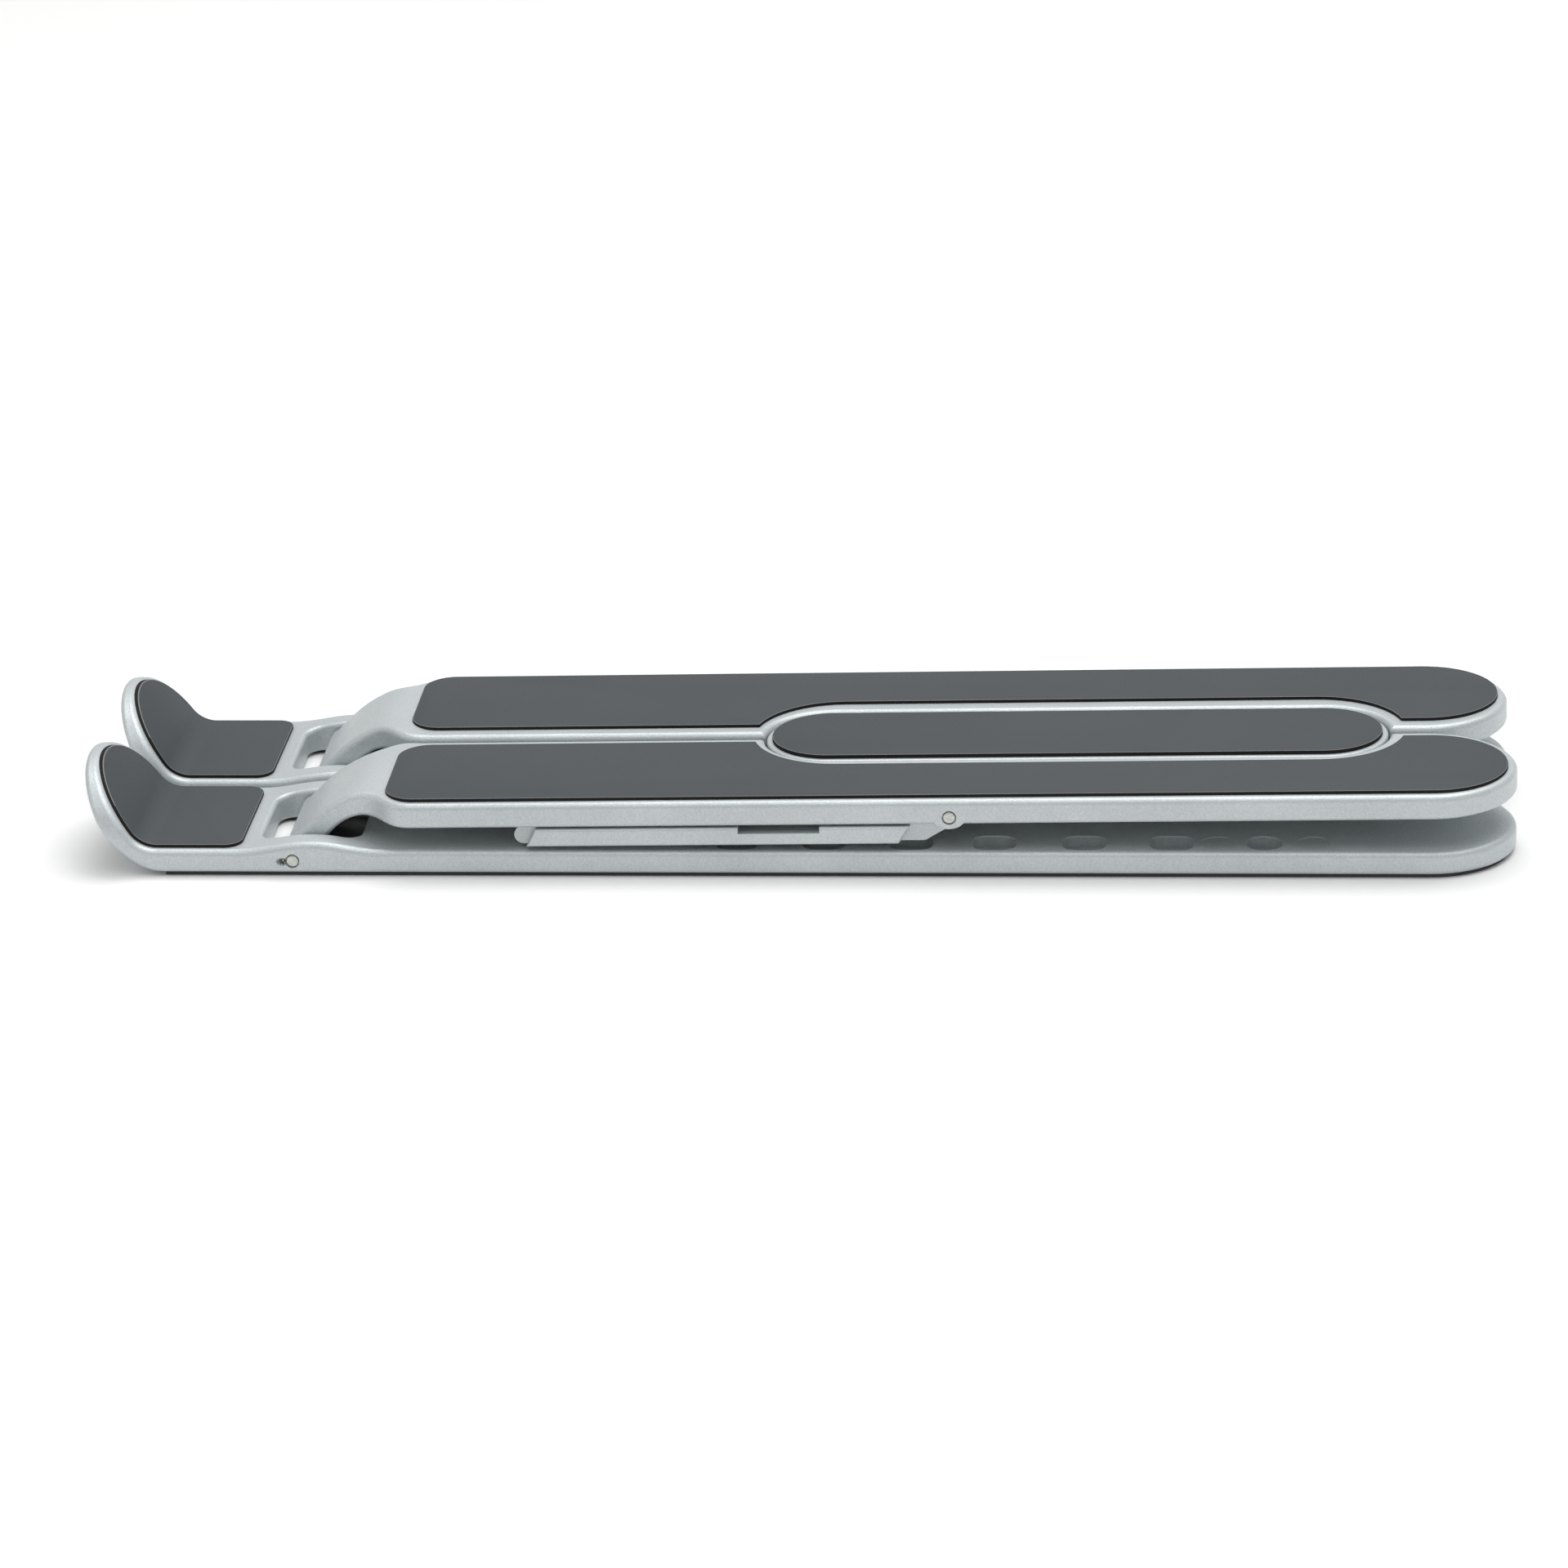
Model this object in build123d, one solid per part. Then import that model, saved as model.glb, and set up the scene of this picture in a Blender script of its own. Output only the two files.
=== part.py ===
"""Folding laptop stand, closed: two hinged side arms joined by a two-link knee bar.

Frame: X runs along the arms with the hooks at -X, Y runs across the pair, Z is up.
The origin is at the centre of the footprint, on the surface that the stand lies on.
All lengths are in millimetres.
"""
import os
from math import cos, degrees, radians, sin

from build123d import *

os.makedirs("parts", exist_ok=True)

# Side arms
ARM_PITCH = 33.0            # between the centre lines of the two side arms
ARM_WIDTH = 30.8
HALF_WIDTH = ARM_WIDTH / 2
REAR_X = 125.0              # rear end of the arms
REAR_CENTRE_X = REAR_X - HALF_WIDTH

# Base arm
FOOT_THICKNESS = 0.8        # rubber strip under each base arm
BASE_BOTTOM = FOOT_THICKNESS
BASE_TOP = 4.8
EDGE_FILLET = 1.1
SUPPORT_LOWER_FILLET = 0.8
BOTTOM_FILLET = 0.7
BUMP_OUTLINE = [
    (-97.0, 4.8), (-92.2, 5.2), (-88.0, 5.9), (-84.0, 6.25),
    (-80.4, 6.1), (-77.2, 5.55), (-74.0, 5.05), (-70.0, 4.8),
]
WINDOW_X = (-92.7, -75.4)   # opening in the base arm for the root of the support arm
WINDOW_HALF_WIDTH = 10.5
WINDOW_CORNER = 3.2
WINDOW_FILLET = 0.7

# Hook at the front of the base arm
BEND_X = -110.3             # centre of the bend of the hook's inner face
BEND_Z = 10.6
LIP_TURN = 56.0             # degrees that the inner face turns through
LIP_RUN = 16.0              # straight run past the bend, before the end is rounded
HOOK_BACK = [
    (-109.3, 0.8), (-111.7, 1.15), (-114.1, 2.35), (-116.3, 4.1),
    (-118.4, 6.35), (-120.25, 9.0), (-121.5, 11.4),
]
BACK_LEAN = 64.0            # degrees, past the last point of the back's outline
LIP_SHOULDER_Z = 7.0        # where the sides of the lip start to round over
LIP_TIP_Z = 17.6
ORIGIN_X = 0.41             # middle of the footprint, in the X that the outlines are drawn in

# Detent slots and shallow round marks in the top of the base arm
SLOT_ROW = 10.75            # from the arm's centre line
SLOT_X = (-9.3, 5.7, 20.75, 35.1, 50.6, 65.6)
SLOT_LENGTH = 7.4
SLOT_WIDTH = 6.2
SLOT_CORNER = 2.3
SLOT_DEPTH = 2.0
SLOT_FILLET = 0.25
END_SLOT_X = 81.4
MARK_X = (-16.3, -0.9, 73.5, 89.9)
MARK_DIAMETER = 5.9
MARK_DEPTH = 0.15

# Pads
PAD_RECESS = 0.35
PAD_PROUD = 0.6
HOOK_PAD_PROUD = 0.6
HOOK_PAD_FRONT_X = -95.7
HOOK_PAD_HALF_WIDTH = 13.8
HOOK_PAD_TIP_Z = 17.35
HOOK_PAD_CORNER = 3.0
FOOT_OPENING_X = (-94.0, -82.8)     # opening in the rubber strip below the window

# Hinge between base arm and support arm
HINGE_X = -86.5
HINGE_Z = 2.95
PIN_RADIUS = 1.05
PIN_HOLE_FIXED = 1.07
PIN_HOLE_TURNING = 1.10
PIN_MOUTH_RADIUS = 1.27     # narrow sink around each visible pin end
PIN_MOUTH_DEPTH = 0.55
KNUCKLE_RADIUS = 2.1
TILT = degrees(0.0107)      # the closed support arms rise slightly towards the rear

# Support arm, drawn before it is tilted about the hinge
SUPPORT_BOTTOM = 8.72
SUPPORT_TOP = 13.12
ROOT_HALF_WIDTH = 10.0
ROOT_START_X = -95.0        # clear of the knuckle
INNER_FLARE_X = (-78.5, -68.2)      # from the narrow root to full width, beside the other arm
OUTER_FLARE_X = (-76.0, -65.5)      # the same on the outer side
CREST_OUTLINE = [
    (-88.25, 4.12), (-85.6, 6.6), (-83.2, 8.9), (-81.0, 10.6), (-78.6, 12.0),
    (-76.4, 12.95), (-74.2, 13.38), (-72.1, 13.4), (-69.6, 13.25), (-66.0, 13.12),
]
ARCH_OUTLINE = [
    (-66.0, 8.72), (-69.5, 8.82), (-73.0, 9.15), (-76.0, 8.85),
    (-78.6, 7.6), (-80.8, 5.5), (-82.7, 3.2), (-85.3, 1.25),
]
SUPPORT_PAD_FRONT_X = -70.5
SUPPORT_PAD_REAR_X = 123.4
SUPPORT_PAD_Y = (4.2, 30.3)
SUPPORT_PAD_CORNER = 5.5
PAD_NOTCH_RADIUS = 15.3
PAD_NOTCH_X = (7.2, 91.2)

# Knee bar between the support arms
PIVOT_X = 5.5               # both arm pivots when closed
KNEE_X = 92.1
LINK_RADIUS = 11.4
LINK_GAP = 0.4              # around the bar, in the notch of each support arm
LINK_TOP_Z = (10.5, 12.7)
LINK_BOTTOM_Z = (6.9, 8.4)
FAR_TONGUE_Z = (8.7, 10.2)
NEAR_TONGUE_Z = (5.1, 6.6)
TONGUE_RADIUS = 8.0
TONGUE_WEB_Y = (12.2, 15.2)
LINK_PAD_RADIUS = 10.4
LINK_PAD_RECESS = 0.4
LINK_PAD_PROUD = 0.7
RIVET_RADIUS = 2.0
RIVET_CLEARANCE = 0.05
RIVET_HEAD_RADIUS = 3.6
RIVET_HEAD_THICKNESS = 0.6
HEAD_POCKET_RADIUS = 3.8
HEAD_POCKET_DEPTH = 0.7
WASHER_RADIUS = 4.8
WASHER_GAP = 0.05

# Prop under each support arm
PROP_PIN_X = 27.67
PROP_PIN_Z = 9.99
PROP_BOTTOM = 5.2
PROP_TOP = 8.4
PROP_OUTER = 31.9
PROP_INNER = 1.6
PROP_FRONT_X = (-45.5, -43.8)   # slanted front edge, bottom then top
PROP_REAR_X = (18.9, 20.9)      # slanted rear edge, bottom then top
NECK_START_X = -8.0
NECK_INNER = 15.8
PROP_KNUCKLE_Y = (16.0, 30.0)
PROP_KNUCKLE_RADIUS = 2.0
PROP_POCKET_Y = (15.8, 30.2)
PROP_POCKET_RADIUS = 2.25
PROP_POCKET_FRONT = 2.75
PROP_PIN_INNER = 13.0
PROP_EDGE_FILLET = 0.5
PROP_RAMP_X = 23.4
TOOTH_WIDTH = 5.4
TOOTH_TIP_X = -47.7
NAIL_NOTCH_X = (-8.75, 5.33)
NAIL_NOTCH_DEPTH = 1.05
NAIL_NOTCH_REACH = 8.0
BOSS_RADII = (2.8, 2.04)


def box_between(x, y, z):
    """A box given by its (low, high) pair along each axis."""
    size = (x[1] - x[0], y[1] - y[0], z[1] - z[0])
    middle = ((x[0] + x[1]) / 2, (y[0] + y[1]) / 2, (z[0] + z[1]) / 2)
    return Pos(*middle) * Box(*size)


def cylinder_y(x, z, radius, y):
    """A cylinder along Y between the two values of y."""
    middle = (y[0] + y[1]) / 2
    return Pos(x, middle, z) * Rot(90, 0, 0) * Cylinder(radius, abs(y[1] - y[0]))


def disc(x, radius, z):
    """A flat round solid on the knee bar's centre line, between the two values of z."""
    return Pos(x, 0, (z[0] + z[1]) / 2) * Cylinder(radius, z[1] - z[0])


def prism(sketch, z):
    """A sketch of the XY plane made solid between the two values of z."""
    return extrude(Pos(0, 0, z[0]) * sketch, z[1] - z[0])


def long_hole(start_x, end_x, radius, y=0.0):
    """A sketch with parallel sides and round ends, centred on the line at y."""
    length = end_x - start_x
    middle = (start_x + end_x) / 2
    ends = Pos(start_x, y) * Circle(radius) + Pos(end_x, y) * Circle(radius)
    return Pos(middle, y) * Rectangle(length, 2 * radius) + ends


def round_ended(start_x, end_x, radius, y=0.0):
    """A strip sketch that is square at start_x and round at end_x."""
    centre_x = end_x - radius
    strip = Pos((start_x + centre_x) / 2, y) * Rectangle(centre_x - start_x, 2 * radius)
    return strip + Pos(centre_x, y) * Circle(radius)


def side_profile(edges, half_width):
    """Edges drawn in the XZ plane, filled and thickened evenly about Y = 0."""
    return extrude(make_face(Plane.XZ * Curve(edges)), half_width, both=True)


def tilted(solid):
    """The solid turned about the hinge, as everything on the support arms lies when closed."""
    return Pos(HINGE_X, 0, HINGE_Z) * Rot(0, -TILT, 0) * Pos(-HINGE_X, 0, -HINGE_Z) * solid


def lean_point(radius, run):
    """Point on the lean of the hook, from its radius about the bend and its run past the bend."""
    angle = radians(LIP_TURN)
    return (BEND_X - radius * sin(angle) - run * cos(angle), BEND_Z - radius * cos(angle) + run * sin(angle))


def hook_face(top_z):
    """The hook's inner face, level at top_z behind the bend: the lean, then the bend."""
    radius = BEND_Z - top_z
    return [
        Line(lean_point(radius, LIP_RUN), lean_point(radius, 0)),
        CenterArc((BEND_X, BEND_Z), radius, 270 - LIP_TURN, LIP_TURN),
    ]


def base_profile():
    """Side outline of the base arm: hook, bump over the hinge and flat strip."""
    angle = radians(BACK_LEAN)
    back = HOOK_BACK[-1]
    back_tip = (back[0] - LIP_RUN * cos(angle), back[1] + LIP_RUN * sin(angle))
    return hook_face(BASE_TOP) + [
        Line((BEND_X, BASE_TOP), BUMP_OUTLINE[0]),
        Spline(*BUMP_OUTLINE, tangents=[(1, 0), (1, 0)]),
        Line(BUMP_OUTLINE[-1], (REAR_X, BASE_TOP)),
        Line((REAR_X, BASE_TOP), (REAR_X, BASE_BOTTOM)),
        Line((REAR_X, BASE_BOTTOM), HOOK_BACK[0]),
        Spline(*HOOK_BACK, tangents=[(-1, 0), (-cos(angle), sin(angle))]),
        Line(back, back_tip),
        Line(back_tip, lean_point(BEND_Z - BASE_TOP, LIP_RUN)),
    ]


def hook_pad_profile():
    """Side outline of the hook's pad, an even strip along the hook's inner face."""
    low = BASE_TOP - PAD_RECESS
    high = BASE_TOP + HOOK_PAD_PROUD
    return hook_face(high) + hook_face(low) + [
        Line((BEND_X, high), (HOOK_PAD_FRONT_X, high)),
        Line((HOOK_PAD_FRONT_X, high), (HOOK_PAD_FRONT_X, low)),
        Line((HOOK_PAD_FRONT_X, low), (BEND_X, low)),
        Line(lean_point(BEND_Z - low, LIP_RUN), lean_point(BEND_Z - high, LIP_RUN)),
    ]


def lip_envelope(half_width, tip_z, split_x):
    """What is left of the hook: a lip with a half-elliptic end in front of split_x, everything behind it."""
    oval = Ellipse(half_width, tip_z - LIP_SHOULDER_Z)
    below = Pos(0, -REAR_X / 2) * Rectangle(2 * half_width, REAR_X)
    front = extrude(Plane.YZ.offset(split_x) * (Pos(0, LIP_SHOULDER_Z) * (oval + below)), -REAR_X)
    rear = box_between((split_x, REAR_X + 5), (-half_width, half_width), (-5, 40))
    return front + rear


def on_hook_back(edge):
    """Whether an edge lies on the outer side of the hook."""
    point = edge.center()
    angle = radians(LIP_TURN)
    across = (BEND_X - point.X) * sin(angle) + (BEND_Z - point.Z) * cos(angle)
    return point.X < BEND_X and across > BEND_Z - BASE_TOP + 1.0


def base_body():
    """The base arm before any opening is cut in it, with all its rims rounded."""
    arm = side_profile(base_profile(), HALF_WIDTH)
    arm = arm & lip_envelope(HALF_WIDTH, LIP_TIP_Z, -100.0)
    arm = arm & prism(round_ended(-150.0, REAR_X, HALF_WIDTH), (-5, 40))
    rims = arm.edges().filter_by(Axis.Z, reverse=True)
    upper = rims.filter_by(lambda edge: edge.center().Z > BASE_TOP - 0.3 and not on_hook_back(edge))
    arm = fillet(upper, EDGE_FILLET)
    rims = arm.edges().filter_by(Axis.Z, reverse=True)
    lower = rims.filter_by(lambda edge: edge.center().Z < BASE_BOTTOM + 0.1 or on_hook_back(edge))
    return fillet(lower.filter_by(Axis.Y, reverse=True), BOTTOM_FILLET)


def base_arm():
    """Base arm with its hook, window, hinge holes, detent slots, marks and pad recess."""
    arm = base_body()
    window = Rectangle(WINDOW_X[1] - WINDOW_X[0], 2 * WINDOW_HALF_WIDTH)
    window = fillet(window.vertices(), WINDOW_CORNER)
    arm -= prism(Pos(sum(WINDOW_X) / 2, 0) * window, (-5, 20))
    rim = arm.edges().filter_by(lambda edge: in_window(edge.center()) and edge.center().Z > BASE_TOP)
    arm = fillet(rim.filter_by(Axis.Z, reverse=True), WINDOW_FILLET)
    arm -= cylinder_y(HINGE_X, HINGE_Z, PIN_HOLE_FIXED, (-20, 20))
    for side in (-1, 1):
        mouth = (side * (HALF_WIDTH - PIN_MOUTH_DEPTH), side * (HALF_WIDTH + 1))
        arm -= cylinder_y(HINGE_X, HINGE_Z, PIN_MOUTH_RADIUS, mouth)
        arm -= prism(slot_row(side), (BASE_TOP - SLOT_DEPTH, BASE_TOP + 3))
    arm = fillet(arm.edges().filter_by(lambda edge: in_slot_row(edge.center())), SLOT_FILLET)
    for side in (-1, 1):
        for x in MARK_X:
            mark = Pos(x, side * SLOT_ROW) * Circle(MARK_DIAMETER / 2)
            arm -= prism(mark, (BASE_TOP - MARK_DEPTH, BASE_TOP + 3))
    return arm - hook_pad()


def slot_row(side):
    """Sketch of the detent slots along one side of the base arm."""
    slot = Rectangle(SLOT_LENGTH, SLOT_WIDTH)
    slot = fillet(slot.vertices(), SLOT_CORNER)
    row = Pos(END_SLOT_X, side * SLOT_ROW) * Circle(SLOT_WIDTH / 2)
    for x in SLOT_X:
        row += Pos(x, side * SLOT_ROW) * slot
    return row


def in_window(point):
    """Whether a point lies in the outline of the window, up to its edge."""
    within_x = WINDOW_X[0] - 0.1 < point.X < WINDOW_X[1] + 0.1
    return within_x and abs(point.Y) < WINDOW_HALF_WIDTH + 0.1


def in_slot_row(point):
    """Whether a point of the base arm's top face belongs to a slot's rim."""
    within_y = SLOT_ROW - SLOT_WIDTH < abs(point.Y) < SLOT_ROW + SLOT_WIDTH / 2 + 0.1
    within_x = SLOT_X[0] - SLOT_LENGTH < point.X < END_SLOT_X + SLOT_WIDTH
    return within_x and within_y and abs(point.Z - BASE_TOP) < 0.01


def hook_pad():
    """Soft pad that lines the hook and the front of the base arm."""
    pad = side_profile(hook_pad_profile(), HOOK_PAD_HALF_WIDTH)
    pad = pad & lip_envelope(HOOK_PAD_HALF_WIDTH, HOOK_PAD_TIP_Z, -105.0)
    corners = pad.edges().filter_by(Axis.Z).filter_by(lambda edge: edge.center().X > HOOK_PAD_FRONT_X - 0.1)
    return fillet(corners, HOOK_PAD_CORNER)


def foot_pad():
    """Rubber strip that the base arm stands on, cut away below the hinge window."""
    inset = 1.0
    strip = round_ended(-109.0, REAR_X - inset, HALF_WIDTH - inset)
    opening = Rectangle(FOOT_OPENING_X[1] - FOOT_OPENING_X[0], 2 * WINDOW_HALF_WIDTH + 1)
    opening = fillet(opening.vertices(), WINDOW_CORNER)
    return prism(strip - Pos(sum(FOOT_OPENING_X) / 2, 0) * opening, (0, FOOT_THICKNESS))


def support_plan(side):
    """Plan outline of a support arm about its own centre line: round rear, narrow root."""
    flares = (OUTER_FLARE_X, INNER_FLARE_X) if side < 0 else (INNER_FLARE_X, OUTER_FLARE_X)
    edges = [ThreePointArc((REAR_CENTRE_X, -HALF_WIDTH), (REAR_X, 0), (REAR_CENTRE_X, HALF_WIDTH))]
    for (narrow, wide), hand in zip(flares, (-1, 1)):
        outer = hand * HALF_WIDTH
        inner = hand * ROOT_HALF_WIDTH
        middle = (narrow + wide) / 2
        edges.append(Line((REAR_CENTRE_X, outer), (wide, outer)))
        edges.append(Bezier((wide, outer), (middle, outer), (middle, inner), (narrow, inner)))
        edges.append(Line((narrow, inner), (ROOT_START_X, inner)))
    edges.append(Line((ROOT_START_X, -ROOT_HALF_WIDTH), (ROOT_START_X, ROOT_HALF_WIDTH)))
    return make_face(Curve(edges))


def support_profile():
    """Side outline of a support arm: flat strip, hump, sloping root and round knuckle."""
    start = CREST_OUTLINE[0]
    end = ARCH_OUTLINE[-1]
    left = (HINGE_X - KNUCKLE_RADIUS * cos(radians(30)), HINGE_Z - KNUCKLE_RADIUS * sin(radians(30)))
    return [
        Spline(*CREST_OUTLINE, tangents=[(0.72, 0.69), (1, 0)]),
        Line(CREST_OUTLINE[-1], (REAR_X, SUPPORT_TOP)),
        Line((REAR_X, SUPPORT_TOP), (REAR_X, SUPPORT_BOTTOM)),
        Line((REAR_X, SUPPORT_BOTTOM), ARCH_OUTLINE[0]),
        Spline(*ARCH_OUTLINE, tangents=[(-1, 0), (-0.9, -0.3)]),
        ThreePointArc(end, left, start),
    ]


def support_arm(side):
    """Support arm on one side (-1 near, 1 far), before tilting."""
    across = Pos(0, side * ARM_PITCH / 2, 0)
    arm = side_profile(support_profile(), HALF_WIDTH)
    arm = arm & prism(support_plan(side), (-5, 40))
    notch = long_hole(PIVOT_X, KNEE_X, LINK_RADIUS + LINK_GAP, -side * ARM_PITCH / 2)
    arm -= prism(notch, (-5, 40))
    rim = arm.edges().filter_by(Axis.Y, reverse=True).filter_by(Axis.Z, reverse=True)
    arm = fillet(rim.filter_by(lambda edge: edge.center().Z > SUPPORT_TOP - 1), EDGE_FILLET)
    rim = arm.edges().filter_by(Axis.Y, reverse=True).filter_by(Axis.Z, reverse=True)
    lower = rim.filter_by(lambda edge: edge.center().Z < SUPPORT_BOTTOM + 0.2)
    lower = lower.filter_by(lambda edge: edge.center().X > CREST_OUTLINE[-1][0])
    lower = lower.filter_by(lambda edge: abs(edge.center().Y) > HALF_WIDTH - 0.1 or edge.center().X > REAR_CENTRE_X)
    arm = fillet(lower, SUPPORT_LOWER_FILLET)
    arm += cylinder_y(HINGE_X, HINGE_Z, KNUCKLE_RADIUS, (-ROOT_HALF_WIDTH, ROOT_HALF_WIDTH))
    arm -= cylinder_y(HINGE_X, HINGE_Z, PIN_HOLE_TURNING, (-20, 20))
    arm = across * arm
    arm += prop_boss(side)
    arm -= prop_pocket(side)
    arm -= prism(support_pad_outline(side), (SUPPORT_TOP - PAD_RECESS, 40))
    if side > 0:
        return arm + far_tongue()
    return arm + near_tongue()


def prop_boss(side):
    """Small boss below the outer wall of the support arm, under the prop pin."""
    lower_half = Pos(0, -BOSS_RADII[1] / 2) * Rectangle(2 * BOSS_RADII[0], BOSS_RADII[1])
    oval = Plane.XZ * (Pos(PROP_PIN_X, PROP_PIN_Z) * (Ellipse(*BOSS_RADII) & lower_half))
    depth = PROP_OUTER - PROP_POCKET_Y[1]
    return Pos(0, side * (PROP_OUTER - depth / 2), 0) * extrude(oval, depth / 2, both=True)


def prop_pocket(side):
    """Pocket under the support arm for the prop's knuckle, with the pin hole."""
    y = (side * PROP_POCKET_Y[0], side * PROP_POCKET_Y[1])
    pocket = cylinder_y(PROP_PIN_X, PROP_PIN_Z, PROP_POCKET_RADIUS, y)
    reach_x = (PROP_PIN_X - PROP_POCKET_FRONT, PROP_PIN_X + PROP_POCKET_RADIUS)
    pocket += box_between(reach_x, (min(y), max(y)), (SUPPORT_BOTTOM - 2, PROP_PIN_Z))
    pocket += cylinder_y(PROP_PIN_X, PROP_PIN_Z, PIN_HOLE_FIXED, (side * PROP_PIN_INNER, side * 35))
    mouth = (side * (PROP_OUTER - PIN_MOUTH_DEPTH), side * 35)
    return pocket + cylinder_y(PROP_PIN_X, PROP_PIN_Z, PIN_MOUTH_RADIUS, mouth)


def tongue(side, reach, z):
    """Flat tongue from a support arm to the pivot, with a round end and a rivet hole."""
    middle = side * reach / 2
    plan = Pos(PIVOT_X, 0) * Circle(TONGUE_RADIUS)
    plan += Pos(PIVOT_X, middle) * Rectangle(2 * TONGUE_RADIUS, reach)
    solid = prism(plan, z) - disc(PIVOT_X, RIVET_RADIUS + RIVET_CLEARANCE, (z[0] - 1, z[1] + 1))
    return solid - disc(PIVOT_X, HEAD_POCKET_RADIUS, (z[0] - 1, z[0] + HEAD_POCKET_DEPTH))


def far_tongue():
    """Tongue of the far support arm, between the two links."""
    return tongue(1, LINK_RADIUS + 1.2, FAR_TONGUE_Z)


def near_tongue():
    """Tongue of the near support arm, below both links, with its drop web."""
    web_y = (-TONGUE_WEB_Y[1], -TONGUE_WEB_Y[0])
    web_x = (PIVOT_X - TONGUE_RADIUS, PIVOT_X + TONGUE_RADIUS)
    web = box_between(web_x, web_y, (NEAR_TONGUE_Z[0], SUPPORT_BOTTOM + 1))
    return tongue(-1, TONGUE_WEB_Y[1], NEAR_TONGUE_Z) + web


def support_pad_outline(side):
    """Plan outline of the pad on a support arm, notched around the knee bar."""
    inner, outer = SUPPORT_PAD_Y
    radius = (outer - inner) / 2
    middle = side * (inner + outer) / 2
    outline = round_ended(SUPPORT_PAD_FRONT_X, SUPPORT_PAD_REAR_X, radius, middle)
    corners = outline.vertices().filter_by(lambda vertex: vertex.X < SUPPORT_PAD_FRONT_X + 1)
    outline = fillet(corners, SUPPORT_PAD_CORNER)
    return outline - long_hole(*PAD_NOTCH_X, PAD_NOTCH_RADIUS)


def support_pad(side):
    """Soft pad on the top of a support arm."""
    return prism(support_pad_outline(side), (SUPPORT_TOP - PAD_RECESS, SUPPORT_TOP + PAD_PROUD))


def link(z, head_pockets, fixed_x):
    """One link of the knee bar, with a rivet hole and a head pocket at each pivot named."""
    solid = prism(long_hole(PIVOT_X, KNEE_X, LINK_RADIUS), z)
    for x in (PIVOT_X, KNEE_X):
        clearance = 0.0 if x in fixed_x else RIVET_CLEARANCE
        solid -= disc(x, RIVET_RADIUS + clearance, (z[0] - 1, z[1] + 1))
    for x, pocket_z in head_pockets:
        solid -= disc(x, HEAD_POCKET_RADIUS, pocket_z)
    return solid


def link_top():
    """Upper link, the visible oval plate, with a recess for its pad."""
    low, high = LINK_TOP_Z
    floor = high - LINK_PAD_RECESS
    pockets = [(x, (floor - HEAD_POCKET_DEPTH, high)) for x in (PIVOT_X, KNEE_X)]
    solid = link(LINK_TOP_Z, pockets, (PIVOT_X, KNEE_X))
    rim = solid.edges().group_by(Axis.Z)[-1].filter_by(lambda edge: edge.length > 30)
    solid = fillet(rim, PROP_EDGE_FILLET)
    return solid - prism(long_hole(PIVOT_X, KNEE_X, LINK_PAD_RADIUS), (floor, high + 1))


def link_bottom():
    """Lower link, hidden under the upper one."""
    low, high = LINK_BOTTOM_Z
    pockets = [
        (PIVOT_X, (high - HEAD_POCKET_DEPTH, high + 1)),
        (KNEE_X, (low - 1, low + HEAD_POCKET_DEPTH)),
    ]
    return link(LINK_BOTTOM_Z, pockets, (PIVOT_X,))


def rivet(x, top_z, bottom_z):
    """Rivet with a flat head at each end, between the outer faces of its heads."""
    upper = disc(x, RIVET_HEAD_RADIUS, (top_z - RIVET_HEAD_THICKNESS, top_z))
    lower = disc(x, RIVET_HEAD_RADIUS, (bottom_z, bottom_z + RIVET_HEAD_THICKNESS))
    return upper + lower + disc(x, RIVET_RADIUS, (bottom_z, top_z))


def washer(x, z):
    """Flat washer in the gap between two plates of the knee bar."""
    gap = (z[0] + WASHER_GAP, z[1] - WASHER_GAP)
    return disc(x, WASHER_RADIUS, gap) - disc(x, RIVET_RADIUS + RIVET_CLEARANCE, (z[0] - 1, z[1] + 1))


def prop_outline(front_x, rear_x):
    """Side outline of the prop's plate with slanted ends."""
    return Plane.XZ * Polygon(
        (front_x[0], PROP_BOTTOM), (rear_x[0], PROP_BOTTOM), (rear_x[1], PROP_TOP), (front_x[1], PROP_TOP),
        align=None,
    )


def prop_tooth(side, row):
    """Rounded tooth at the foot of the prop that drops into a detent slot."""
    radius = (PROP_TOP - PROP_BOTTOM) / 2
    nose_x = TOOTH_TIP_X + radius
    middle = (PROP_TOP + PROP_BOTTOM) / 2
    outline = Pos(nose_x, middle) * Circle(radius)
    root_x = PROP_FRONT_X[1] + 2
    outline += Pos((nose_x + root_x) / 2, middle) * Rectangle(root_x - nose_x, 2 * radius)
    y = side * ARM_PITCH / 2 + row * SLOT_ROW
    return Pos(0, y, 0) * extrude(Plane.XZ * outline, TOOTH_WIDTH / 2, both=True)


def prop_web(side):
    """Neck that ramps up from the prop's plate to its knuckle."""
    lower = radians(-50)
    start = (PROP_PIN_X + PROP_KNUCKLE_RADIUS * cos(lower), PROP_PIN_Z + PROP_KNUCKLE_RADIUS * sin(lower))
    outline = Plane.XZ * Polygon(
        (PROP_REAR_X[0] - 2, PROP_BOTTOM), (PROP_RAMP_X, PROP_BOTTOM), start, (PROP_PIN_X, PROP_PIN_Z),
        (PROP_PIN_X - PROP_KNUCKLE_RADIUS, PROP_PIN_Z), (PROP_PIN_X - 2.5, PROP_TOP),
        (PROP_REAR_X[0] - 2, PROP_TOP),
        align=None,
    )
    middle = side * sum(PROP_KNUCKLE_Y) / 2
    return Pos(0, middle, 0) * extrude(outline, (PROP_KNUCKLE_Y[1] - PROP_KNUCKLE_Y[0]) / 2, both=True)


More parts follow.
